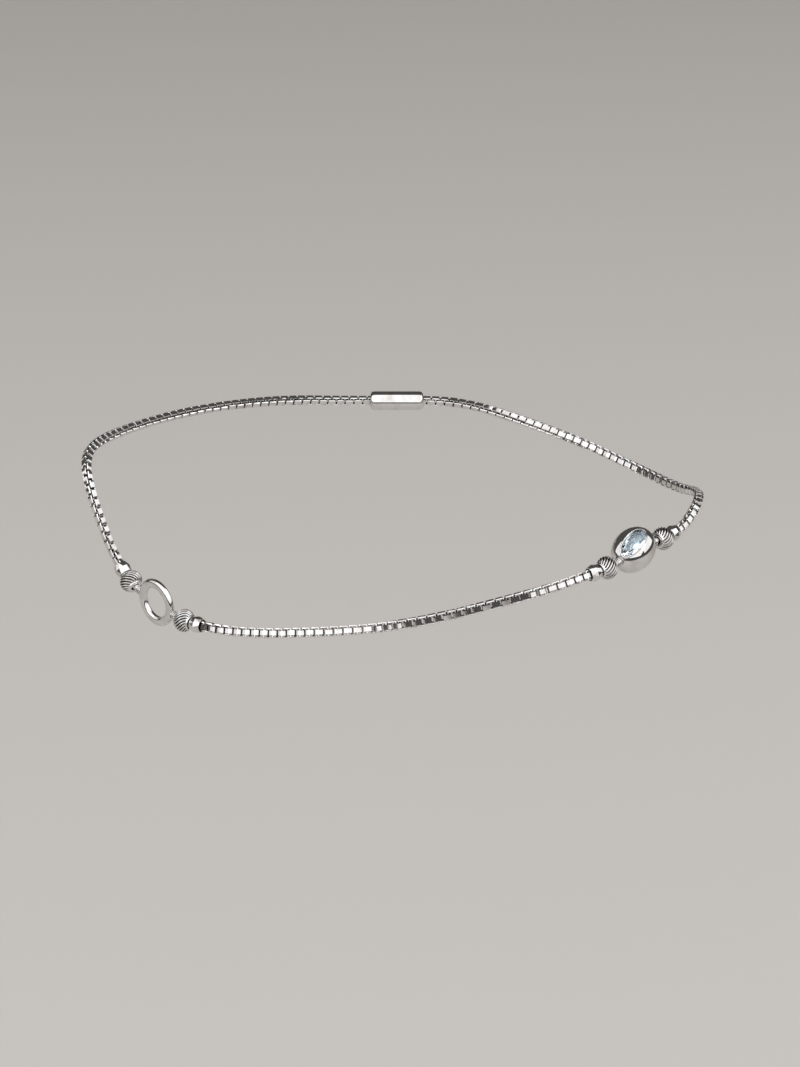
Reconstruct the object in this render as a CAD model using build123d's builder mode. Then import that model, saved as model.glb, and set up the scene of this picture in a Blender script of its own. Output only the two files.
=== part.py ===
"""Payal anklet: a box chain round an ankle, with an open ring and a set stone between beads.

Millimetres, +Z up. The origin is the middle of the space that the ankle fills. +X points to the
instep, -X to the heel and +Y to the hidden side, where the clasp is.
"""

from math import pi, radians, tan
import os

from build123d import *

# ---- chain -----------------------------------------------------------------------------------
chain_diameter = 1.6          # circle round the square links, corner to corner
bend_share = 0.45             # share of the shorter run that a bend takes up

# Routes of the three lengths of chain, from station to station and on to the clasp.
# Columns: x, y, z.
front_route = [
    (-31.06, -20.24, -8.63),
    (-26.9, -23.2, -8.4),
    (-19.5, -26.6, -7.2),
    (-11.0, -29.5, -5.2),
    (-2.0, -31.1, -3.5),
    (6.5, -31.1, -1.8),
    (14.5, -29.5, -0.4),
    (22.0, -26.9, 0.4),
    (27.2, -24.3, 0.9),
    (31.4, -21.3, 1.0),
]
instep_route = [
    (38.4, -15.1, 1.6),
    (42.1, -11.2, 0.8),
    (45.0, -5.4, 2.6),
    (45.8, 1.0, 0.6),
    (43.7, 8.4, -3.0),
    (38.0, 16.5, -4.0),
    (30.0, 23.4, -3.2),
    (21.0, 28.2, -1.9),
    (13.5, 30.6, -0.4),
    (8.0, 31.0, 0.4),
    (3.2, 31.0, 0.4),
]
heel_route = [
    (-38.0, -13.3, -7.2),
    (-40.5, -9.6, -5.9),
    (-42.9, -7.3, -0.6),
    (-44.8, -4.5, 4.6),
    (-45.5, -1.4, 6.8),
    (-45.2, 2.6, 7.2),
    (-43.2, 8.0, 6.2),
    (-38.8, 13.8, 5.2),
    (-32.6, 19.4, 4.3),
    (-25.0, 24.4, 3.2),
    (-16.6, 28.6, 1.8),
    (-8.0, 31.0, 0.4),
    (-2.2, 31.0, 0.4),
]

# ---- open ring -------------------------------------------------------------------------------
ring_centre = (-34.52, -16.78, -7.92)
ring_thread = (0.69, -0.70, -0.15)        # from the heel end cap to the front end cap
ring_face = (-0.705, -0.705, 0.055)       # away from the ankle
ring_outer_diameter = 7.3
ring_wire_width = 1.4                     # in the plane of the ring
ring_wire_depth = 1.05                    # from face to face

# ---- set stone -------------------------------------------------------------------------------
thread_centre = (34.9, -18.2, 1.3)
stone_thread = (0.74, 0.67, 0.064)        # from the front end cap to the instep end cap
pebble_offset = (-0.30, 0.21, 0.36)       # from the thread to the middle of the pebble
stone_face = (-0.052, -0.548, 0.835)      # the way that the stone looks
stone_length_axis = (0.600, 0.651, 0.465) # along the longer side of the oval stone
pebble_half_length = 3.7
pebble_half_width = 3.05
pebble_half_height = 2.9
pebble_cap_start = 3.5                    # from the middle of the thread to the foot of each end cap
seat_height = 1.85                        # foot of the girdle, above the pebble's middle
stone_length = 5.0
stone_width = 2.45
stone_gap = 0.05
girdle_height = 0.15
crown_height = 0.5
table_share = 0.6                         # table width over girdle width
pavilion_height = 0.9
culet_share = 0.15
hollow_depth = 1.05                       # room for the pavilion, below the girdle
hollow_share = 0.2                        # hollow's foot over its mouth

# ---- soldered end caps on the ring and on the pebble -----------------------------------------
cap_neck_diameter = 1.0
cap_rim_diameter = 1.4
cap_rim_height = 0.16
cap_rim_step = 0.3
cap_reach = 0.17                          # how far the neck stands inside the fluted bead
cap_root = 0.35                           # how far the neck is sunk into its body
cap_length = 0.83                         # from the body to the end of the fluted bead

# ---- beads -----------------------------------------------------------------------------------
fluted_diameter = 3.45
fluted_length = 2.6
fluted_bore = 1.8
collar_diameter = 2.2
collar_height = 0.2
fluted_start = 0.3                        # how far the fluted bead reaches back past the chain's end
faceted_diameter = 2.5
faceted_length = 1.7
faceted_end_diameter = 2.06
faceted_edge = 0.2
faceted_bore = 1.84
bead_gap = 0.22

# ---- clasp -----------------------------------------------------------------------------------
clasp_centre = (0.5, 31.0, 0.4)
clasp_length = 8.4
clasp_diameter = 3.0
clasp_round = 0.6
clasp_socket = 1.8
clasp_socket_depth = 1.6


def bend_radii(points):
    """Radius at each corner of a route: a share of the shorter run over the tangent of half the turn."""
    corners = [Vector(*point) for point in points]
    radii = []
    for before, corner, after in zip(corners, corners[1:], corners[2:]):
        arriving = corner - before
        leaving = after - corner
        half_turn = radians(arriving.get_angle(leaving) / 2)
        radii.append(bend_share * min(arriving.length, leaving.length) / tan(half_turn))
    return radii


def profile_plane(base):
    """Plane through a base plane's axis: its x is the radius and its y runs along the axis."""
    return Plane(origin=base.origin, x_dir=base.x_dir, z_dir=-base.y_dir)


def plane_on(path, distance):
    """Plane across a path, at a distance along it from its first point."""
    share = distance / path.length
    return Plane(origin=path @ share, z_dir=path % share)


def end_caps(centre, thread, cap_start):
    """A rimmed neck for each end of a body's thread line, rooted in the body."""
    with BuildPart() as caps:
        for side in (-1, 1):
            start = Plane(origin=centre, z_dir=Vector(*thread) * side).offset(cap_start)
            with BuildSketch(start.offset(-cap_root)):
                Circle(cap_neck_diameter / 2)
            extrude(amount=cap_root + cap_length + cap_reach)
            for step in (0, cap_rim_step):
                with BuildSketch(start.offset(step)):
                    Circle(cap_rim_diameter / 2)
                extrude(amount=cap_rim_height)
    return caps.part


def save(piece, name):
    """Label a finished piece and write it as the STEP file of the same name."""
    piece.part.label = name
    export_step(piece.part, f"parts/{name}.step")


os.makedirs("parts", exist_ok=True)

# ---- the three lengths of chain --------------------------------------------------------------
chain_paths = {}
for name, route in (
    ("chain_front", front_route),
    ("chain_instep", instep_route),
    ("chain_heel", heel_route),
):
    radii = bend_radii(route)
    with BuildLine() as path:
        FilletPolyline(*route, radius=radii)
    chain_paths[name] = path.wire()
    with BuildPart() as chain:
        with BuildSketch(plane_on(chain_paths[name], 0)):
            Circle(chain_diameter / 2)
        sweep(path=chain_paths[name])
    save(chain, name)
    length = chain_paths[name].length
    section = pi * chain_diameter**2 / 4
    print(name, "bend radii", [round(radius, 1) for radius in radii])
    print(name, "length", round(length, 2), "volume share", round(chain.part.volume / section / length, 4))

# ---- open ring -------------------------------------------------------------------------------
ring_plane = Plane(origin=ring_centre, x_dir=ring_thread, z_dir=ring_face)
ring_mean_radius = (ring_outer_diameter - ring_wire_width) / 2
ring_caps = end_caps(ring_centre, ring_thread, ring_outer_diameter / 2)
with BuildPart() as open_ring:
    with BuildSketch(profile_plane(ring_plane)):
        with Locations((ring_mean_radius, 0)):
            SlotOverall(ring_wire_width, ring_wire_depth)
    revolve(axis=Axis(ring_plane.origin, ring_plane.z_dir))
    add(ring_caps)
save(open_ring, "open_ring")

# ---- pebble that holds the stone -------------------------------------------------------------
pebble_centre = Vector(*thread_centre) + Vector(*pebble_offset)
pebble_plane = Plane(origin=pebble_centre, x_dir=stone_length_axis, z_dir=stone_face)
seat_plane = pebble_plane.offset(seat_height)
seat_half_length = stone_length / 2 + stone_gap
seat_half_width = stone_width / 2 + stone_gap
pebble_caps = end_caps(thread_centre, stone_thread, pebble_cap_start)
# A ball of radius 1, stretched to the pebble's three half measures.
with BuildPart() as pebble:
    Sphere(1)
    scale(by=(pebble_half_length, pebble_half_width, pebble_half_height))
with BuildPart() as stone_setting:
    add(pebble_plane.location * pebble.part)
    add(pebble_caps)
    with BuildSketch(seat_plane):
        Ellipse(seat_half_length, seat_half_width)
    extrude(amount=pebble_half_height, mode=Mode.SUBTRACT)
    with BuildSketch(seat_plane):
        Ellipse(seat_half_length, seat_half_width)
    with BuildSketch(seat_plane.offset(-hollow_depth)):
        Ellipse(seat_half_length * hollow_share, seat_half_width * hollow_share)
    loft(mode=Mode.SUBTRACT)
save(stone_setting, "stone_setting")

# ---- stone -----------------------------------------------------------------------------------
girdle_plane = seat_plane.offset(stone_gap)
with BuildPart() as stone:
    with BuildSketch(girdle_plane):
        Ellipse(stone_length / 2, stone_width / 2)
    extrude(amount=girdle_height)
    for far_share, level, height in (
        (table_share, girdle_height, crown_height),
        (culet_share, 0, -pavilion_height),
    ):
        with BuildSketch(girdle_plane.offset(level)):
            Ellipse(stone_length / 2, stone_width / 2)
        with BuildSketch(girdle_plane.offset(level + height)):
            Ellipse(stone_length / 2 * far_share, stone_width / 2 * far_share)
        loft()
save(stone, "stone")

# ---- beads: a fluted one at each end of the two stations, with a faceted one outside it --------
station_ends = (
    ("chain_heel", False),
    ("chain_front", False),
    ("chain_front", True),
    ("chain_instep", False),
)
collar_edge = fluted_length / 2 - collar_height
collar_radius = collar_diameter / 2
fluted_middle = fluted_length / 2 - fluted_start
faceted_middle = fluted_length - fluted_start + bead_gap + faceted_length / 2
for number, (chain_name, at_far_end) in enumerate(station_ends, start=1):
    path = chain_paths[chain_name]
    base = plane_on(path, path.length - fluted_middle if at_far_end else fluted_middle)
    with BuildPart() as fluted_bead:
        with BuildSketch(profile_plane(base)):
            with BuildLine():
                ThreePointArc(
                    (collar_radius, -collar_edge), (fluted_diameter / 2, 0), (collar_radius, collar_edge)
                )
                Polyline(
                    (collar_radius, collar_edge),
                    (collar_radius, fluted_length / 2),
                    (fluted_bore / 2, fluted_length / 2),
                    (fluted_bore / 2, -fluted_length / 2),
                    (collar_radius, -fluted_length / 2),
                    (collar_radius, -collar_edge),
                )
            make_face()
        revolve(axis=Axis(base.origin, base.z_dir))
    save(fluted_bead, f"fluted_bead_{number}")

    base = plane_on(path, path.length - faceted_middle if at_far_end else faceted_middle)
    with BuildPart() as faceted_bead:
        with BuildSketch(profile_plane(base)):
            with BuildLine():
                Polyline(
                    (faceted_bore / 2, -faceted_length / 2),
                    (faceted_end_diameter / 2, -faceted_length / 2),
                    (faceted_diameter / 2, -faceted_edge / 2),
                    (faceted_diameter / 2, faceted_edge / 2),
                    (faceted_end_diameter / 2, faceted_length / 2),
                    (faceted_bore / 2, faceted_length / 2),
                    close=True,
                )
            make_face()
        revolve(axis=Axis(base.origin, base.z_dir))
    save(faceted_bead, f"faceted_bead_{number}")

# ---- clasp: a plain barrel that takes an end of the chain in each socket -----------------------
with BuildPart() as clasp:
    clasp_middle = Plane(origin=clasp_centre, z_dir=(1, 0, 0))
    with BuildSketch(clasp_middle):
        Circle(clasp_diameter / 2)
    extrude(amount=clasp_length / 2, both=True)
    fillet(clasp.edges(), clasp_round)
    for side in (-1, 1):
        with BuildSketch(clasp_middle.offset(side * clasp_length / 2)):
            Circle(clasp_socket / 2)
        extrude(amount=-side * clasp_socket_depth, mode=Mode.SUBTRACT)
save(clasp, "clasp")
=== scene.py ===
# %% [markdown]
# # A silver payal anklet
# The anklet is a loop of fine box chain with two stations on it: a plain open ring, and a polished
# pebble that holds an oval stone. A spiral-fluted bead and a small faceted bead sit on each side of
# both. The CAD model fixes the sizes and places, and this script follows them, a hair inside where a
# piece reaches the edge of the CAD box. Each piece is built again with the detail that gives polished
# silver its look, and takes the place of its plain CAD node.

import bmesh
import bpy
import numpy as np
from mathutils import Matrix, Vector


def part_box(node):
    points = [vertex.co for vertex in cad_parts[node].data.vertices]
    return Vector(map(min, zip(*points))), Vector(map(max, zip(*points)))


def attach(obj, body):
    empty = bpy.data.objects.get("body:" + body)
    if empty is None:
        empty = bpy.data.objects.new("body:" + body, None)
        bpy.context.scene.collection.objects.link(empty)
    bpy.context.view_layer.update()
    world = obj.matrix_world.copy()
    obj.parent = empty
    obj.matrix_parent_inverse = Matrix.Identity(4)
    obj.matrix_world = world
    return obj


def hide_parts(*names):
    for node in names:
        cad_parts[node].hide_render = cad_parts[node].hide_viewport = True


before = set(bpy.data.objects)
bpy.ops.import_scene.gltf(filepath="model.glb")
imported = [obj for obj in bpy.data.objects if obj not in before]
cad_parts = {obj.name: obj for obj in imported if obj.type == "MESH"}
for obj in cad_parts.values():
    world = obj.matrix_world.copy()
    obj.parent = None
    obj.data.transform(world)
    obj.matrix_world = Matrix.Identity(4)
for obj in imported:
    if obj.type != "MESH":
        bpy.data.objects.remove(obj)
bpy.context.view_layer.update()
MM = 0.001

# %% [markdown]
# ## Camera
# The anklet is looked at from its near side and from 30 degrees above, through a long lens that keeps
# the loop's shape free of wide-angle stretch. The camera stands back along that line from a point
# near the middle of the loop.

# %% Camera
LOOK_AT = Vector((1.0, 0.0, -6.0)) * MM
CAMERA_DISTANCE = 446.07 * MM
CAMERA_ELEVATION = np.radians(30)
LENS_LENGTH = 100
SENSOR_WIDTH = 36
NEAREST_SEEN = 0.01

camera_data = bpy.data.cameras.new("camera")
camera_data.lens = LENS_LENGTH
camera_data.sensor_width = SENSOR_WIDTH
camera_data.clip_start = NEAREST_SEEN
camera = bpy.data.objects.new("camera", camera_data)
bpy.context.scene.collection.objects.link(camera)
to_camera = Vector((0, -np.cos(CAMERA_ELEVATION), np.sin(CAMERA_ELEVATION)))
camera.location = LOOK_AT + to_camera * CAMERA_DISTANCE
camera.rotation_euler = (np.pi / 2 - CAMERA_ELEVATION, 0, 0)
bpy.context.scene.camera = camera
print("camera at", np.round(np.array(camera.location) / MM, 1), "mm")

# %% [markdown]
# ## Studio
# Silver has no look of its own: it shows what stands round it. A pale floor lies well below the
# anklet, which an ankle would hold up. A dark surround gives the metal a dark band where it mirrors
# the horizon. A large softbox above the front gives it clean white bands, and a panel on each side
# carries the white on round each curve. The Standard view keeps whites white, where a filmic one would
# grey the highlights of the metal.

# %% Floor, surround and softboxes
FLOOR_LEVEL = -0.10
FLOOR_HALF = 3.0
FLOOR_COLOUR = (0.53, 0.505, 0.48, 1)
SURROUND_COLOUR = (0.09, 0.087, 0.084, 1)
SOFTBOXES = (
    ("front_softbox", (0.0, -0.34, 0.52), 1.70, 1.40, 10.0),
    ("left_panel", (-0.76, -0.16, 0.46), 1.05, 0.85, 3.1),
    ("right_panel", (0.78, -0.02, 0.50), 1.10, 0.85, 3.6),
)

floor_mesh = bpy.data.meshes.new("floor")
floor_corners = np.array([(-1, -1, 0), (1, -1, 0), (1, 1, 0), (-1, 1, 0)], float) * FLOOR_HALF
floor_corners[:, 2] = FLOOR_LEVEL
floor_mesh.from_pydata(floor_corners.tolist(), [], [(0, 1, 2, 3)])
floor = bpy.data.objects.new("floor", floor_mesh)
bpy.context.scene.collection.objects.link(floor)

floor_paint = bpy.data.materials.new("floor_paint")
floor_paint.use_nodes = True
floor_shader = floor_paint.node_tree.nodes["Principled BSDF"]
floor_shader.inputs["Base Color"].default_value = FLOOR_COLOUR
floor_shader.inputs["Roughness"].default_value = 0.8
floor_shader.inputs["Specular IOR Level"].default_value = 0.2
floor_mesh.materials.append(floor_paint)

world = bpy.data.worlds.new("surround")
world.use_nodes = True
world.node_tree.nodes["Background"].inputs["Color"].default_value = SURROUND_COLOUR
world.node_tree.nodes["Background"].inputs["Strength"].default_value = 1.0
bpy.context.scene.world = world


def softbox(name, place, width, height, power):
    """A rectangular light of width x height metres at a place, turned to face the anklet."""
    light = bpy.data.lights.new(name, "AREA")
    light.shape = "RECTANGLE"
    light.size = width
    light.size_y = height
    light.energy = power
    holder = bpy.data.objects.new(name, light)
    holder.location = place
    holder.rotation_euler = (-Vector(place)).to_track_quat("-Z", "Y").to_euler()
    bpy.context.scene.collection.objects.link(holder)


for settings in SOFTBOXES:
    softbox(*settings)
bpy.context.scene.view_settings.view_transform = "Standard"
print("floor", FLOOR_LEVEL / MM, "mm below the origin, softboxes", len(bpy.data.lights))

# %% [markdown]
# ## Polish marks and painted shade
# No polished silver is perfectly even: it carries hairlines from the buffing wheel and a faint
# breath of tarnish. Every metal here uses the same effect, so it is one node group with a few
# inputs. The group also paints shade: a piece may carry a value that says how far into a groove
# each point lies, and there the colour turns towards a dark painted shade. The group gives back a
# colour, a roughness and a height, and each material uses them in its own shader.

# %% The polish and painted shade node group
CLEAN_SILVER = (0.72, 0.715, 0.71, 1)
TARNISHED_SILVER = (0.55, 0.52, 0.49, 1)
# Dark colour of the painted shade put into grooves and link insides.
GROOVE_SHADE_COLOUR = (0.10, 0.095, 0.09, 1)
HAIRLINE_STRETCH = (1.0, 1.0, 0.12)
TARNISH_STARTS = 0.45
TARNISH_FULL = 0.75

polish = bpy.data.node_groups.new("polish_marks_and_shade", "ShaderNodeTree")
for label, kind, value in (
    ("Coordinates", "NodeSocketVector", None),
    ("Clean", "NodeSocketColor", CLEAN_SILVER),
    ("Tarnish", "NodeSocketColor", TARNISHED_SILVER),
    ("Painted Shade", "NodeSocketFloat", 0.0),
    ("Mark Scale", "NodeSocketFloat", 6000.0),
    ("Cloud Scale", "NodeSocketFloat", 600.0),
    ("Smooth", "NodeSocketFloat", 0.05),
    ("Rough", "NodeSocketFloat", 0.14),
):
    made = polish.interface.new_socket(name=label, in_out="INPUT", socket_type=kind)
    if value is not None:
        made.default_value = value
for label, kind in (
    ("Color", "NodeSocketColor"),
    ("Roughness", "NodeSocketFloat"),
    ("Height", "NodeSocketFloat"),
):
    polish.interface.new_socket(name=label, in_out="OUTPUT", socket_type=kind)

inside = polish.nodes
join = polish.links.new
given = inside.new("NodeGroupInput")
result = inside.new("NodeGroupOutput")
brushed = inside.new("ShaderNodeMapping")
brushed.inputs["Scale"].default_value = HAIRLINE_STRETCH
marks = inside.new("ShaderNodeTexNoise")
marks.inputs["Detail"].default_value = 3
clouds = inside.new("ShaderNodeTexNoise")
clouds.inputs["Detail"].default_value = 4
dull = inside.new("ShaderNodeMapRange")
dull.inputs["From Min"].default_value = TARNISH_STARTS
dull.inputs["From Max"].default_value = TARNISH_FULL
sheen = inside.new("ShaderNodeMapRange")
tint = inside.new("ShaderNodeMix")
tint.data_type = "RGBA"
join(given.outputs["Coordinates"], brushed.inputs["Vector"])
join(brushed.outputs["Vector"], marks.inputs["Vector"])
join(given.outputs["Mark Scale"], marks.inputs["Scale"])
join(given.outputs["Coordinates"], clouds.inputs["Vector"])
join(given.outputs["Cloud Scale"], clouds.inputs["Scale"])
join(clouds.outputs["Fac"], dull.inputs["Value"])
join(dull.outputs["Result"], sheen.inputs["Value"])
join(given.outputs["Smooth"], sheen.inputs["To Min"])
join(given.outputs["Rough"], sheen.inputs["To Max"])
join(dull.outputs["Result"], tint.inputs["Factor"])
join(given.outputs["Clean"], tint.inputs["A"])
join(given.outputs["Tarnish"], tint.inputs["B"])
# Painted shade: the colour is mixed towards the dark shade colour by each point's shade value.
shade_mix = inside.new("ShaderNodeMix")
shade_mix.data_type = "RGBA"
shade_mix.inputs["B"].default_value = GROOVE_SHADE_COLOUR
join(given.outputs["Painted Shade"], shade_mix.inputs["Factor"])
join(tint.outputs["Result"], shade_mix.inputs["A"])
join(shade_mix.outputs["Result"], result.inputs["Color"])
join(sheen.outputs["Result"], result.inputs["Roughness"])
join(marks.outputs["Fac"], result.inputs["Height"])
print("polish_marks_and_shade nodes", len(inside))

# %% [markdown]
# ## Metals
# The same silver is finished in three ways. The ring, the pebble and the clasp are buffed to a mirror.
# The hollow under the stone is left satin, which backs the stone with an even brightness. The links
# and the beads are barrel-polished, which leaves them a touch softer than the mirror.


# %% Silver materials
def silver(name, settings, bump_distance):
    """Metal whose colour, roughness and bump come from the polish group, with the settings given."""
    material = bpy.data.materials.new(name)
    material.use_nodes = True
    tree = material.node_tree
    shader = tree.nodes["Principled BSDF"]
    shader.inputs["Metallic"].default_value = 1.0
    place = tree.nodes.new("ShaderNodeTexCoord")
    group = tree.nodes.new("ShaderNodeGroup")
    group.node_tree = polish
    for label, value in settings.items():
        group.inputs[label].default_value = value
    bump = tree.nodes.new("ShaderNodeBump")
    bump.inputs["Strength"].default_value = 1.0
    bump.inputs["Distance"].default_value = bump_distance
    # Painted shade: a value stored on the points darkens the colour in grooves and link insides.
    painted_shade = tree.nodes.new("ShaderNodeAttribute")
    painted_shade.attribute_name = "painted_shade"
    tree.links.new(painted_shade.outputs["Fac"], group.inputs["Painted Shade"])
    tree.links.new(place.outputs["Object"], group.inputs["Coordinates"])
    tree.links.new(group.outputs["Color"], shader.inputs["Base Color"])
    tree.links.new(group.outputs["Roughness"], shader.inputs["Roughness"])
    tree.links.new(group.outputs["Height"], bump.inputs["Height"])
    tree.links.new(bump.outputs["Normal"], shader.inputs["Normal"])
    return material


mirror_silver = silver("mirror_silver", {"Smooth": 0.03, "Rough": 0.08}, 1e-6)
satin_silver = silver("satin_silver", {"Smooth": 0.40, "Rough": 0.50}, 2e-6)
tumbled_silver = silver("tumbled_silver", {"Smooth": 0.09, "Rough": 0.17}, 2e-6)
print("silvers", mirror_silver.name, satin_silver.name, tumbled_silver.name)

# %% [markdown]
# ## Stone
# The stone is clear with a breath of blue. It is real refracting glass, so its facets show each
# other and the bright metal behind. A faint change of colour across it keeps it from looking cast.

# %% Stone material
STONE_BLUE = (0.74, 0.88, 1.0, 1)
STONE_PALE = (0.90, 0.96, 1.0, 1)

stone_glass = bpy.data.materials.new("stone_glass")
stone_glass.use_nodes = True
stone_tree = stone_glass.node_tree
stone_shader = stone_tree.nodes["Principled BSDF"]
stone_shader.inputs["Metallic"].default_value = 0.0
stone_shader.inputs["Transmission Weight"].default_value = 1.0
stone_shader.inputs["IOR"].default_value = 1.5
stone_shader.inputs["Roughness"].default_value = 0.0
stone_place = stone_tree.nodes.new("ShaderNodeTexCoord")
stone_veil = stone_tree.nodes.new("ShaderNodeTexNoise")
stone_veil.inputs["Scale"].default_value = 500
stone_ramp = stone_tree.nodes.new("ShaderNodeValToRGB")
stone_ramp.color_ramp.elements[0].color = STONE_BLUE
stone_ramp.color_ramp.elements[1].color = STONE_PALE
stone_tree.links.new(stone_place.outputs["Object"], stone_veil.inputs["Vector"])
stone_tree.links.new(stone_veil.outputs["Fac"], stone_ramp.inputs["Fac"])
stone_tree.links.new(stone_ramp.outputs["Color"], stone_shader.inputs["Base Color"])
print("stone material", stone_glass.name)

# %% [markdown]
# ## Tools for surfaces
# Almost every piece is a grid of points: rings of points, one after another. One function joins
# such a grid with four-sided faces, and another turns a profile round an axis to give the grid. Where a
# profile ends on the axis, a whole ring shares one place, and a weld makes it a single point. A last
# function makes the finished object and hides the CAD node it stands for.


# %% Surface tools
WELD_REACH = 1e-7
SHARP_POLISHED = 40
SHARP_LINK = 30
SHARP_FLUTED = 50
SHARP_FACET = 1


def ring_faces(rows, columns, closed=False):
    """Faces of a grid of rings: corner (i, j), (i, j+1), (i+1, j+1), (i+1, j), with j going round."""
    row = np.arange(rows if closed else rows - 1)[:, None]
    column = np.arange(columns)[None, :]
    upper = (row + 1) % rows
    after = (column + 1) % columns
    this_ring, next_ring = row * columns, upper * columns
    corners = (this_ring + column, this_ring + after, next_ring + after, next_ring + column)
    return np.stack(np.broadcast_arrays(*corners), -1).reshape(-1, 4)


def basis(axis, sideways):
    """Three unit columns: sideways made square to the axis, their cross product, and the axis."""
    third = np.array(axis, float) / np.linalg.norm(axis)
    first = np.array(sideways, float) - np.dot(sideways, third) * third
    first /= np.linalg.norm(first)
    return np.stack([first, np.cross(third, first), third], 1)


def turned(profile, columns, closed=False):
    """A profile of (radius, height) turned round the z axis: x = r cos a, y = r sin a, z = height."""
    radius, height = np.array(profile, float).T
    angle = np.linspace(0, 2 * np.pi, columns, endpoint=False)
    across = [np.outer(radius, np.cos(angle)), np.outer(radius, np.sin(angle))]
    points = np.stack(across + [np.outer(height, np.ones(columns))], -1)
    return points.reshape(-1, 3), ring_faces(len(radius), columns, closed)


def placed(shell, centre, axes):
    """Moves a shell from its own millimetres into the frame: centre + axes x point, in metres."""
    points, faces = shell
    return np.asarray(centre) + (points * MM) @ axes.T, faces


def make_piece(name, node, shells, material, sharp_angle, weld=True):
    """Joins closed shells into one mesh for a node; a weld closes poles and points the faces out."""
    points = np.concatenate([points for points, _ in shells])
    starts = np.cumsum([0] + [len(points) for points, _ in shells[:-1]])
    faces = []
    for start, (_, shell) in zip(starts.tolist(), shells):
        if isinstance(shell, np.ndarray):
            faces += (shell + start).tolist()
        else:
            faces += [[corner + start for corner in face] for face in shell]
    mesh = bpy.data.meshes.new(name)
    mesh.from_pydata(points.tolist(), [], faces)
    if weld:
        work = bmesh.new()
        work.from_mesh(mesh)
        bmesh.ops.remove_doubles(work, verts=work.verts, dist=WELD_REACH)
        bmesh.ops.recalc_face_normals(work, faces=work.faces)
        work.to_mesh(mesh)
        work.free()
    mesh.shade_smooth()
    mesh.set_sharp_from_angle(angle=np.radians(sharp_angle))
    mesh.materials.append(material)
    piece = bpy.data.objects.new(name, mesh)
    bpy.context.scene.collection.objects.link(piece)
    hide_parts(node)
    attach(piece, "root")
    print(name, "faces", len(mesh.polygons))
    return piece


def paint_shade(piece, depths):
    """Paints shade: writes how far into a groove each point lies, from 0 to 1, as a value that darkens its
    colour.
    """
    painted_shade = piece.data.attributes.new("painted_shade", "FLOAT", "POINT")
    painted_shade.data.foreach_set("value", depths)


# %% [markdown]
# ## The chain's routes
# A real chain of this length settles into one smooth curve. Each route is a short list of points,
# and a smooth spline of third order passes along them. Everything on the chain reads its place from
# that spline: how far along, and in which direction it runs there.

# %% Routes
front_route = np.array([
    (-31.06, -20.24, -8.63), (-26.9, -23.2, -8.4), (-19.5, -26.6, -7.2), (-11.0, -29.5, -5.2),
    (-2.0, -31.1, -3.5), (6.5, -31.1, -1.8), (14.5, -29.5, -0.4), (22.0, -26.9, 0.4),
    (27.2, -24.3, 0.9), (31.4, -21.3, 1.0),
]) * MM
instep_route = np.array([
    (38.4, -15.1, 1.6), (42.1, -11.2, 0.8), (45.0, -5.4, 2.6), (45.8, 1.0, 0.6),
    (43.7, 8.4, -3.0), (38.0, 16.5, -4.0), (30.0, 23.4, -3.2), (21.0, 28.2, -1.9),
    (13.5, 30.6, -0.4), (8.0, 31.0, 0.4), (3.2, 31.0, 0.4),
]) * MM
heel_route = np.array([
    (-38.0, -13.3, -7.2), (-40.5, -9.6, -5.9), (-42.9, -7.3, -0.6), (-44.8, -4.5, 4.6),
    (-45.5, -1.4, 6.8), (-45.2, 2.6, 7.2), (-43.2, 8.0, 6.2), (-38.8, 13.8, 5.2),
    (-32.6, 19.4, 4.3), (-25.0, 24.4, 3.2), (-16.6, 28.6, 1.8), (-8.0, 31.0, 0.4),
    (-2.2, 31.0, 0.4),
]) * MM
SPLINE_ORDER = 3
STEPS_PER_POINT = 24
DIRECTION_REACH = 0.15 * MM


def smooth_line(name, route):
    """Points of the route's smooth spline, and the distance along it to each of them."""
    curve = bpy.data.curves.new(name, "CURVE")
    curve.dimensions = "3D"
    curve.resolution_u = STEPS_PER_POINT
    spline = curve.splines.new("NURBS")
    spline.points.add(len(route) - 1)
    spline.points.foreach_set("co", np.column_stack([route, np.ones(len(route))]).ravel())
    spline.order_u = SPLINE_ORDER
    spline.use_endpoint_u = True
    holder = bpy.data.objects.new(name, curve)
    mesh = bpy.data.meshes.new_from_object(holder)
    line = np.empty(len(mesh.vertices) * 3)
    mesh.vertices.foreach_get("co", line)
    line = line.reshape(-1, 3)
    bpy.data.objects.remove(holder)
    bpy.data.curves.remove(curve)
    bpy.data.meshes.remove(mesh)
    steps = np.linalg.norm(np.diff(line, axis=0), axis=1)
    return line, np.concatenate([[0], np.cumsum(steps)])


def along(line, distances):
    """Places at distances along a line, and the unit directions there, from a short step each way."""
    points, run = line
    distances = np.atleast_1d(distances)

    def at(where):
        return np.stack([np.interp(where, run, points[:, k]) for k in range(3)], -1)

    before = at(np.clip(distances - DIRECTION_REACH, 0, run[-1]))
    after = at(np.clip(distances + DIRECTION_REACH, 0, run[-1]))
    direction = after - before
    return at(distances), direction / np.linalg.norm(direction, axis=1, keepdims=True)


front_line = smooth_line("front", front_route)
instep_line = smooth_line("instep", instep_route)
heel_line = smooth_line("heel", heel_route)
for label, line in (("front", front_line), ("instep", instep_line), ("heel", heel_line)):
    print(label, "chain", round(line[1][-1] / MM, 1), "mm")

# %% [markdown]
# ## Box links
# A box link is a flat strip bent into a small square and closed. Each link stands at right angles
# to the next, whose end bar lies inside it, so seen from one side the chain shows a plate, a gap, a
# plate. The strip is thicker than the gap it leaves, so a box chain looks almost closed. Its long
# edges are bevelled, and the bevels catch light that the flat plates miss. The inside is painted
# dark, as painted shade. One link has a few dozen faces, since it is repeated hundreds of times.

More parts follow.
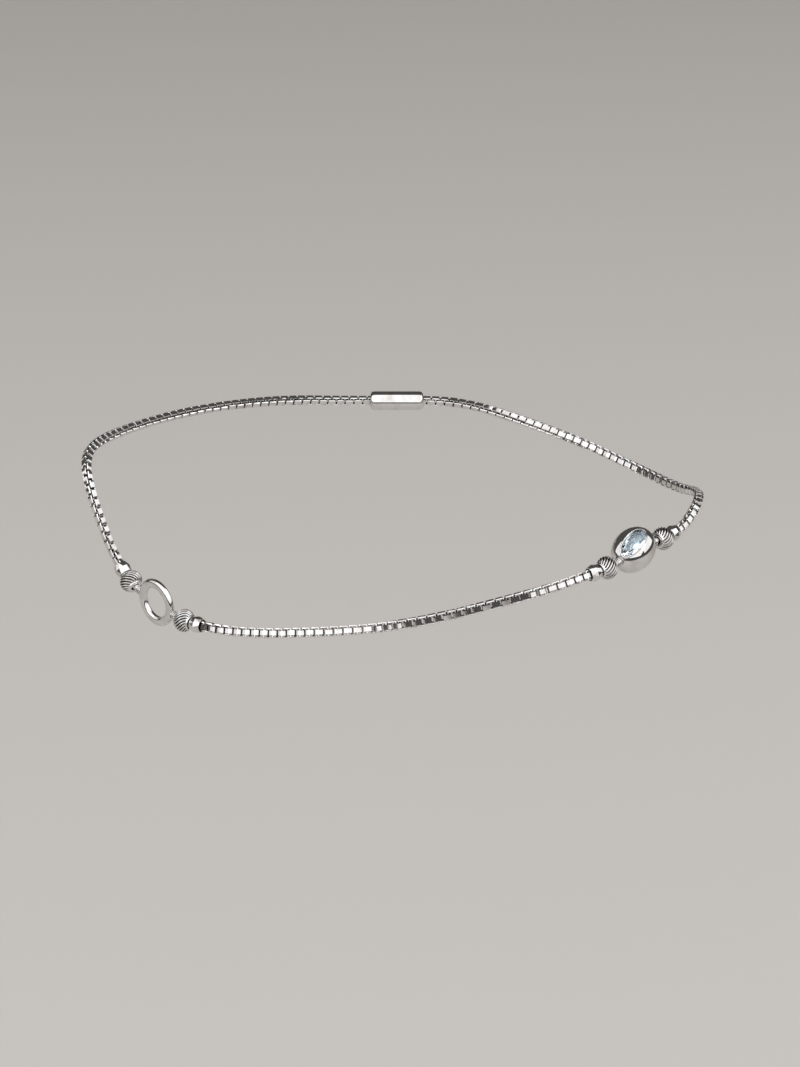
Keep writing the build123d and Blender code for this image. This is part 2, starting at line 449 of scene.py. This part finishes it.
# %% One link
LINK_PITCH = 0.71
LINK_PLAY = 0.01
LINK_ACROSS = 1.40
STRIP_THICKNESS = 0.25
STRIP_WIDTH = 0.78
STRIP_BEVEL = 0.07
OUTER_CORNER = 0.12
INNER_CORNER = 0.04
LINK_LENGTH = LINK_PITCH + 2 * STRIP_THICKNESS + LINK_PLAY
# Painted shade: the inner rows of each link get the full dark shade colour.
INSIDE_SHADE = 1.0
INNER_ROWS = 2
CORNER_POINTS = 12


def link_shape():
    """Rounded rectangles set in from the link's outline: corner centre + radius x (cos a, sin a)."""
    quarter = np.radians(np.linspace(0, 90, CORNER_POINTS // 4))
    angle = (np.arange(4)[:, None] * np.pi / 2 + quarter[None, :]).ravel()
    side = np.repeat(np.array([(1, 1), (-1, 1), (-1, -1), (1, -1)]), CORNER_POINTS // 4, axis=0)
    outward = np.stack([np.cos(angle), np.sin(angle)], -1)
    outline = np.array([LINK_LENGTH, LINK_ACROSS]) / 2
    flat = STRIP_WIDTH / 2 - STRIP_BEVEL
    middle = (STRIP_THICKNESS / 2, (OUTER_CORNER + INNER_CORNER) / 2)
    section = (
        (STRIP_THICKNESS, INNER_CORNER, flat),
        (STRIP_THICKNESS, INNER_CORNER, -flat),
        (*middle, -STRIP_WIDTH / 2),
        (0, OUTER_CORNER, -flat),
        (0, OUTER_CORNER, flat),
        (*middle, STRIP_WIDTH / 2),
    )
    rows = []
    for inset, radius, level in section:
        corner = side * (outline - inset - radius) + outward * radius
        rows.append(np.column_stack([corner, np.full(len(angle), level)]))
    return np.concatenate(rows), ring_faces(len(section), len(angle), closed=True)


link_points, link_faces = link_shape()
corners = link_points[link_faces]
link_volume = np.einsum("ij,ij->i", corners[:, 0], np.cross(corners[:, 1], corners[:, 2])).sum()
link_volume += np.einsum("ij,ij->i", corners[:, 0], np.cross(corners[:, 2], corners[:, 3])).sum()
if link_volume < 0:
    link_faces = link_faces[:, ::-1]
print("link faces", len(link_faces), "volume", round(abs(link_volume) / 6, 3), "cubic mm")

# %% [markdown]
# ## Chains of links
# The links are laid out along the spline, a pitch apart. Each one turns about the chain's own line
# by a slow twist, as a limp chain does on skin, and every second link by a quarter turn more. The
# twist decides whether a plate mirrors a softbox, the floor or the dark surround, so it is given for
# each chain as shares of its length and the turn there, in degrees. A small seeded wobble gives each
# plate its own glint.

# %% Lay out the links
FRONT_TURN = ((0, 0.14, 0.43, 0.55, 0.76, 0.88, 1), (-5, -29, -29, -16, -16, -34, -40))
INSTEP_TURN = ((0, 0.07, 0.14, 0.21, 0.3, 1), (-21, -39, -58, -94, -92, 0))
HEEL_TURN = ((0, 0.07, 0.14, 0.3, 0.45, 1), (20, 35, 43, 45, 30, 0))
WOBBLE = np.radians(2.0)
wobble_source = np.random.default_rng(7)


def link_chain(name, node, line, twist_shares, twist_degrees):
    """Links a pitch apart: place + (direction, turned outward, turned sideways) x link point."""
    length = line[1][-1] / MM
    count = round((length - LINK_LENGTH) / LINK_PITCH) + 1
    distance = np.linspace(LINK_LENGTH / 2, length - LINK_LENGTH / 2, count) * MM
    centre, forward = along(line, distance)
    outward = centre * (1, 1, 0)
    outward -= np.einsum("ij,ij->i", outward, forward)[:, None] * forward
    outward /= np.linalg.norm(outward, axis=1, keepdims=True)
    sideways = np.cross(forward, outward)
    roll = np.radians(np.interp(distance / distance[-1], twist_shares, twist_degrees))
    roll += np.arange(count) % 2 * np.pi / 2 + wobble_source.normal(0, WOBBLE, count)
    across = np.cos(roll)[:, None] * outward + np.sin(roll)[:, None] * sideways
    axes = np.stack([forward, across, np.cross(forward, across)], -1)
    points = centre[:, None, :] + np.einsum("nij,kj->nki", axes, link_points * MM)
    faces = link_faces[None] + (np.arange(count) * len(link_points))[:, None, None]
    print(name, "links", count, "pitch", round((distance[1] - distance[0]) / MM, 3), "mm")
    shell = (points.reshape(-1, 3), faces.reshape(-1, 4))
    piece = make_piece(name, node, [shell], tumbled_silver, SHARP_LINK, weld=False)
    # Painted shade on the inside of every link.
    inner = np.arange(len(link_points)) < INNER_ROWS * CORNER_POINTS
    paint_shade(piece, np.tile(inner * INSIDE_SHADE, count))


link_chain("front_links", "chain_front", front_line, *FRONT_TURN)
link_chain("instep_links", "chain_instep", instep_line, *INSTEP_TURN)
link_chain("heel_links", "chain_heel", heel_line, *HEEL_TURN)

# %% [markdown]
# ## End caps
# The ring and the pebble are joined to their beads by a short neck with two thin rims, soldered
# on at each end. A turned profile is the natural way to make them: it runs from the axis, along the
# neck, over both rounded rims and back to the axis.

# %% Caps
CAP_ROOT = 0.35
CAP_OUT = 1.0
NECK_RADIUS = 0.50
RIM_RADIUS = 0.70
RIM_HEIGHT = 0.16
RIM_STEP = 0.3
RIM_POINTS = 7
CAP_COLUMNS = 40


def cap_profile():
    """Neck radius, but half a circle for each rim: r = edge + h/2 cos a, z = middle + h/2 sin a."""
    bend = np.linspace(-np.pi / 2, np.pi / 2, RIM_POINTS)
    half = RIM_HEIGHT / 2
    profile = [(0, -CAP_ROOT), (NECK_RADIUS, -CAP_ROOT)]
    for start in (0, RIM_STEP):
        profile.append((NECK_RADIUS, start))
        rim = (RIM_RADIUS - half + half * np.cos(bend), start + half + half * np.sin(bend))
        profile += list(zip(*rim))
        profile.append((NECK_RADIUS, start + RIM_HEIGHT))
    return profile + [(NECK_RADIUS, CAP_OUT), (0, CAP_OUT)]


def end_caps(centre, thread, cap_start):
    """One cap at each end of a body's thread line, standing cap_start from its centre."""
    caps = []
    for side in (-1, 1):
        direction = np.array(thread, float) / np.linalg.norm(thread) * side
        foot = np.asarray(centre) + direction * cap_start * MM
        caps.append(placed(turned(cap_profile(), CAP_COLUMNS), foot, basis(direction, (0, 0, 1))))
    return caps


print("cap profile points", len(cap_profile()))

# %% [markdown]
# ## Open ring
# The ring is a slightly flattened wire bent into a circle and soldered shut, so it is one rounded
# section carried round a circle. The section is a superellipse, between an oval and a rectangle. The
# ring is buffed to a mirror, and it needs a fine grid to keep its reflections smooth.

# %% Ring
RING_THREAD = (0.69, -0.70, -0.15)
RING_FACE = (-0.705, -0.705, 0.055)
RING_CENTRE = np.array([-34.52, -16.78, -7.92]) * MM
RING_OUTER = 3.64
RING_WIDTH = 1.4
RING_DEPTH = 1.05
RING_SQUARENESS = 2.35
RING_COLUMNS = 160
WIRE_ROWS = 48


def ring_wire():
    """Superellipse of width w, depth d: r = R - w/2 + w/2 C, z = d/2 S, C = sign(cos b) |cos b|^(2/n)."""
    bend = np.linspace(0, 2 * np.pi, WIRE_ROWS, endpoint=False)
    across = np.sign(np.cos(bend)) * np.abs(np.cos(bend)) ** (2 / RING_SQUARENESS)
    upward = np.sign(np.sin(bend)) * np.abs(np.sin(bend)) ** (2 / RING_SQUARENESS)
    radius = RING_OUTER - RING_WIDTH / 2 + RING_WIDTH / 2 * across
    return turned(np.column_stack([radius, RING_DEPTH / 2 * upward]), RING_COLUMNS, closed=True)


ring_shells = [placed(ring_wire(), RING_CENTRE, basis(RING_FACE, RING_THREAD))]
ring_shells += end_caps(RING_CENTRE, RING_THREAD, RING_OUTER)
make_piece("plain_ring", "open_ring", ring_shells, mirror_silver, SHARP_POLISHED)

# %% [markdown]
# ## Pebble
# The setting is a polished oval pebble, a little flattened, with an oval window cut into its face
# for the stone. A thin raised lip runs round the window. Rings of points run from the back pole over
# the pebble to the lip, down into the seat and on to the foot of the hollow. The pebble's outline and
# the window are different ovals, so each ring's points are taken in the same directions as those of
# the window, and the grid stays even where the two meet.

# %% Pebble
THREAD_CENTRE = np.array([34.9, -18.2, 1.3]) * MM
STONE_THREAD = (0.74, 0.67, 0.064)
PEBBLE_OFFSET = np.array([-0.30, 0.21, 0.36]) * MM
STONE_FACE = (-0.052, -0.548, 0.835)
STONE_LENGTH_AXIS = (0.600, 0.651, 0.465)
PEBBLE_HALF = np.array([3.7, 3.05])
PEBBLE_HALF_HEIGHT = 2.9
PEBBLE_CAP_START = 3.5
SEAT_HEIGHT = 1.85
WINDOW = np.array([2.55, 1.275])
LIP_WIDTH = 0.22
LIP_HEIGHT = 0.09
HOLLOW_DEPTH = 1.05
HOLLOW_SHARE = 0.2
HOLLOW_MARGIN = 0.01
PEBBLE_COLUMNS = 144
DOME_ROWS = 72
LIP_ROWS = 9

pebble_axes = basis(STONE_FACE, STONE_LENGTH_AXIS)
pebble_centre = THREAD_CENTRE + PEBBLE_OFFSET


def dome_height(radius, reach):
    """Height of the pebble's surface over its middle: h sqrt(1 - (r / reach)^2)."""
    return PEBBLE_HALF_HEIGHT * np.sqrt(np.clip(1 - (radius / reach) ** 2, 0, 1))


def pebble_shell():
    """Dome, lip, wall and hollow: in direction d the dome reaches 1 / |(cos d / a, sin d / b)|."""
    turn = np.linspace(0, 2 * np.pi, PEBBLE_COLUMNS, endpoint=False)
    direction = np.arctan2(WINDOW[1] * np.sin(turn), WINDOW[0] * np.cos(turn))
    window = np.hypot(WINDOW[0] * np.cos(turn), WINDOW[1] * np.sin(turn))
    reach = 1 / np.hypot(np.cos(direction) / PEBBLE_HALF[0], np.sin(direction) / PEBBLE_HALF[1])
    rim_angle = np.arccos((window + LIP_WIDTH) / reach)
    lift = -np.pi / 2 + np.linspace(0, 1, DOME_ROWS)[:, None] * (rim_angle + np.pi / 2)
    dome = (reach * np.cos(lift), PEBBLE_HALF_HEIGHT * np.sin(lift))
    bend = np.linspace(0, np.pi, LIP_ROWS)[1:, None]
    lip_radius = window + LIP_WIDTH / 2 * (1 + np.cos(bend))
    lip = (lip_radius, dome_height(lip_radius, reach) + LIP_HEIGHT * np.sin(bend))
    shares = np.array([1, (1 + HOLLOW_SHARE) / 2, HOLLOW_SHARE, 0])[:, None]
    levels = np.array([0, HOLLOW_DEPTH / 2, HOLLOW_DEPTH, HOLLOW_DEPTH])[:, None]
    hollow = (shares * window, (SEAT_HEIGHT - levels) + 0 * window)
    radius, height = (np.concatenate(parts) for parts in zip(dome, lip, hollow))
    points = np.stack([radius * np.cos(direction), radius * np.sin(direction), height], -1)
    return points.reshape(-1, 3), ring_faces(len(radius), PEBBLE_COLUMNS)


pebble_shells = [placed(pebble_shell(), pebble_centre, pebble_axes)]
pebble_shells += end_caps(THREAD_CENTRE, STONE_THREAD, PEBBLE_CAP_START)
pebble_mesh = make_piece(
    "pebble", "stone_setting", pebble_shells, mirror_silver, SHARP_POLISHED
).data
pebble_mesh.materials.append(satin_silver)
middles = np.empty(len(pebble_mesh.polygons) * 3)
pebble_mesh.polygons.foreach_get("center", middles)
own = (middles.reshape(-1, 3) - pebble_centre) @ pebble_axes / MM
in_window = np.hypot(own[:, 0] / WINDOW[0], own[:, 1] / WINDOW[1]) <= 1
above_foot = own[:, 2] > SEAT_HEIGHT - HOLLOW_DEPTH - HOLLOW_MARGIN
in_hollow = in_window & above_foot & (own[:, 2] < SEAT_HEIGHT)
pebble_mesh.polygons.foreach_set("material_index", in_hollow.astype(np.int32))
print("satin faces in the hollow", int(in_hollow.sum()))

# %% [markdown]
# ## Oval stone
# The stone has the classic cut: a flat table, eight stars, eight kites and sixteen small triangles
# above the girdle, and kites and triangles below. Every facet has to be truly flat, so the corner
# between two kites is put exactly where their planes meet. The round cut is then stretched to an
# oval, which keeps all its facets flat.

# %% Stone
STONE_HALF = np.array([2.5, 1.225])
SEAT_CLEARANCE = 0.05
GIRDLE_THICKNESS = 0.15
GIRDLE_LOW = SEAT_HEIGHT + SEAT_CLEARANCE
GIRDLE_HIGH = GIRDLE_LOW + GIRDLE_THICKNESS
CROWN_HEIGHT = 0.5
PAVILION_DEPTH = 0.9
TABLE_SHARE = 0.6
CROWN_CORNER = 0.82
PAVILION_CORNER = 0.42


def cut_stone():
    """Rings of corners at eighths and sixteenths of a turn; a kite's side corner lies on its own plane."""
    eighth = np.arange(8) * np.pi / 4
    sixteenth = np.arange(16) * np.pi / 8
    lean = np.cos(np.pi / 8)

    def ring(radius, angle, height):
        return np.column_stack([radius * np.cos(angle), radius * np.sin(angle), np.full(len(angle), height)])

    crown_level = GIRDLE_HIGH + CROWN_HEIGHT * (1 - CROWN_CORNER * lean) / (1 - TABLE_SHARE)
    pavilion_level = GIRDLE_LOW - PAVILION_DEPTH * (1 - PAVILION_CORNER * lean)
    points = np.concatenate([
        ring(TABLE_SHARE, eighth + np.pi / 8, GIRDLE_HIGH + CROWN_HEIGHT),
        ring(CROWN_CORNER, eighth, crown_level),
        ring(1, sixteenth, GIRDLE_HIGH),
        ring(1, sixteenth, GIRDLE_LOW),
        ring(PAVILION_CORNER, eighth, pavilion_level),
        [(0, 0, GIRDLE_LOW - PAVILION_DEPTH)],
    ])
    points[:, :2] *= STONE_HALF
    k = np.arange(8)
    n = (k + 1) % 8
    table, crown, high, low, keel, tip = 0, 8, 16, 32, 48, 56
    odd, even, last = 2 * k + 1, 2 * k, (2 * k - 1) % 16
    j = np.arange(16)
    kinds = (
        (table + k[None, :]),
        np.column_stack([table + k, crown + n, table + n]),
        np.column_stack([table + k, crown + k, high + odd, crown + n]),
        np.column_stack([crown + k, high + even, high + odd]),
        np.column_stack([crown + k, high + last, high + even]),
        np.column_stack([high + j, low + j, low + (j + 1) % 16, high + (j + 1) % 16]),
        np.column_stack([np.full(8, tip), keel + n, low + odd, keel + k]),
        np.column_stack([keel + k, low + odd, low + even]),
        np.column_stack([keel + k, low + even, low + last]),
    )
    return points, [face for kind in kinds for face in kind.tolist()]


stone_shell = placed(cut_stone(), pebble_centre, pebble_axes)
make_piece("oval_stone", "stone", [stone_shell], stone_glass, SHARP_FACET)

# %% [markdown]
# ## Fluted beads
# Each fluted bead is a small ball with grooves that twist from end to end. Its radius is the
# ball's, less a groove whose bottom is sharp and whose rib is round. The groove's place turns
# steadily from one end to the other, which gives the spiral, and it fades out at the collars. A wide
# bore takes the chain's end, and a narrower mouth at the other end closes round the soldered neck.

# %% Fluted bead
FLUTED_RADIUS = 1.725
FLUTED_HALF = 1.3
COLLAR_RADIUS = 1.1
COLLAR_HEIGHT = 0.2
FLUTED_BORE = 0.9
FLUTES = 18
FLUTE_DEPTH = 0.19
FLUTE_TWIST = np.radians(-75)
MOUTH_RADIUS = 0.62
COLLAR_ROUND = 0.06
FLUTE_FADE = 4
FLUTE_COLUMNS = 10
BODY_ROWS = 49
BORE_ROWS = 12


def fluted_shell():
    """Radius = arc(z) - depth x fade x groove, twisted with z; groove = 1 - |sin(flutes a / 2)|."""
    edge = FLUTED_HALF - COLLAR_HEIGHT
    sagitta = FLUTED_RADIUS - COLLAR_RADIUS
    arc_radius = (edge**2 + sagitta**2) / (2 * sagitta)
    level = -edge * np.cos(np.linspace(0, np.pi, BODY_ROWS))
    arc = np.sqrt(arc_radius**2 - level**2) - (arc_radius - FLUTED_RADIUS)
    fade = np.clip((1 - (level / edge) ** 2) * FLUTE_FADE, 0, 1)
    column = np.linspace(0, 2 * np.pi, FLUTES * FLUTE_COLUMNS, endpoint=False)
    groove = fade[:, None] * (1 - np.abs(np.sin(FLUTES * column / 2)))
    body = arc[:, None] - FLUTE_DEPTH * groove
    collar = (
        (COLLAR_RADIUS - COLLAR_ROUND, -FLUTED_HALF),
        (COLLAR_RADIUS, -FLUTED_HALF + COLLAR_ROUND),
    )
    mouth = (
        (FLUTED_BORE, -edge),
        (MOUTH_RADIUS, -edge),
        (MOUTH_RADIUS, -FLUTED_HALF + COLLAR_ROUND),
        (MOUTH_RADIUS + COLLAR_ROUND, -FLUTED_HALF),
    )
    bore = ((FLUTED_BORE + COLLAR_ROUND, FLUTED_HALF), (FLUTED_BORE, FLUTED_HALF - COLLAR_ROUND))
    lower_radius, lower_level = np.array(mouth + collar).T
    wall = [(FLUTED_BORE, depth) for depth in np.linspace(edge, -edge, BORE_ROWS)[:-1]]
    upper_radius, upper_level = np.array([(r, -z) for r, z in collar[::-1]] + list(bore) + wall).T
    flat = np.ones(len(column))
    radius = np.concatenate([np.outer(lower_radius, flat), body, np.outer(upper_radius, flat)])
    height = np.concatenate([lower_level, level, upper_level])[:, None] + 0 * flat
    turn = column + FLUTE_TWIST * np.clip(height / edge, -1, 1) / 2
    # Painted shade: the groove depth also darkens the colour in the grooves.
    painted_shade = np.zeros(radius.shape)
    painted_shade[len(lower_radius):len(lower_radius) + len(level)] = groove
    points = np.stack([radius * np.cos(turn), radius * np.sin(turn), height], -1)
    return points.reshape(-1, 3), ring_faces(len(radius), len(column), closed=True), painted_shade.ravel()


# %% [markdown]
# ## Faceted beads
# The small beads are ground into triangles that meet along a sharp equator. A ring of corners at
# each end stands half a step from the corners of the equator, so the facets zigzag between them.

# %% Faceted bead
FACETED_RADIUS = 1.25
FACETED_HALF = 0.85
FACETED_END = 1.03
FACETED_BORE = 0.92
FACETS = 12


def faceted_shell():
    """Rings of corners at the bore, end, equator, end and bore; triangles join the shifted ones."""
    step = np.arange(FACETS) * 2 * np.pi / FACETS
    shift = np.pi / FACETS
    rings = (
        (FACETED_BORE, -FACETED_HALF, shift),
        (FACETED_END, -FACETED_HALF, shift),
        (FACETED_RADIUS, 0, 0),
        (FACETED_END, FACETED_HALF, shift),
        (FACETED_BORE, FACETED_HALF, shift),
    )
    rows = []
    for radius, level, turn in rings:
        angle = step + turn
        rows.append(np.column_stack([radius * np.cos(angle), radius * np.sin(angle), np.full(FACETS, level)]))
    points = np.concatenate(rows)
    k = np.arange(FACETS)
    n = (k + 1) % FACETS
    low, equator, high, top = FACETS, 2 * FACETS, 3 * FACETS, 4 * FACETS
    kinds = (
        np.column_stack([k, n, low + n, low + k]),
        np.column_stack([low + k, low + n, equator + n]),
        np.column_stack([equator + k, low + k, equator + n]),
        np.column_stack([high + k, equator + n, high + n]),
        np.column_stack([equator + k, equator + n, high + k]),
        np.column_stack([high + k, high + n, top + n, top + k]),
        np.column_stack([k, top + k, top + n, n]),
    )
    return points, [face for kind in kinds for face in kind.tolist()]


# %% [markdown]
# ## Thread the beads
# The beads take their place from the chain: the fluted one covers the chain's end, and the faceted
# one follows it. The printed distance says how far each lies from the middle of its CAD node.

# %% Beads on the chain
FLUTED_PLACE = 1.0
FACETED_PLACE = 3.37
# Strength of the painted shade in the grooves of the fluted beads.
GROOVE_SHADE_STRENGTH = 1.7
BEAD_SIDEWAYS = (0.1, 0.2, 1)

bead_ends = (
    (1, heel_line, False),
    (2, front_line, False),
    (3, front_line, True),
    (4, instep_line, False),
)
for number, line, far_end in bead_ends:
    for kind, place, shell, sharp in (
        ("fluted_bead", FLUTED_PLACE, fluted_shell, SHARP_FLUTED),
        ("faceted_bead", FACETED_PLACE, faceted_shell, SHARP_FACET),
    ):
        node = f"{kind}_{number}"
        distance = line[1][-1] - place * MM if far_end else place * MM
        centre, direction = along(line, distance)
        axes = basis(-direction[0] if far_end else direction[0], BEAD_SIDEWAYS)
        node_middle = np.mean(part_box(node), axis=0)
        print(node, "off its node by", round(np.linalg.norm(centre[0] - node_middle) / MM, 3), "mm")
        points, faces, *groove = shell()
        bead = [placed((points, faces), centre[0], axes)]
        name = f"{node}_detail"
        piece = make_piece(name, node, bead, tumbled_silver, sharp, weld=False)
        # Painted shade in the grooves of the fluted beads.
        if groove:
            paint_shade(piece, np.clip(groove[0] * GROOVE_SHADE_STRENGTH, 0, 1))

# %% [markdown]
# ## Clasp
# The clasp lies behind the ankle, where nobody sees it, so it is one plain barrel with rounded ends
# and a socket for each end of the chain.

# %% Clasp
CLASP_HALF = 4.2
CLASP_RADIUS = 1.495
CLASP_ROUND = 0.6
SOCKET_RADIUS = 0.9
SOCKET_DEPTH = 1.6
CLASP_COLUMNS = 72
CORNER_ROWS = 9

socket_foot = CLASP_HALF - SOCKET_DEPTH
clasp_bend = np.linspace(0, np.pi / 2, CORNER_ROWS)
corner_radius = CLASP_RADIUS - CLASP_ROUND + CLASP_ROUND * np.sin(clasp_bend)
corner_height = CLASP_HALF - CLASP_ROUND + CLASP_ROUND * np.cos(clasp_bend)
clasp_end = [(0, socket_foot), (SOCKET_RADIUS, socket_foot), (SOCKET_RADIUS, CLASP_HALF)]
clasp_end += list(zip(corner_radius, corner_height))
clasp_profile = [(radius, -height) for radius, height in clasp_end] + clasp_end[::-1]
clasp_middle = np.mean(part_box("clasp"), axis=0)
clasp_shell = placed(turned(clasp_profile, CLASP_COLUMNS), clasp_middle, basis((1, 0, 0), (0, 0, 1)))
make_piece("barrel_clasp", "clasp", [clasp_shell], mirror_silver, SHARP_POLISHED)
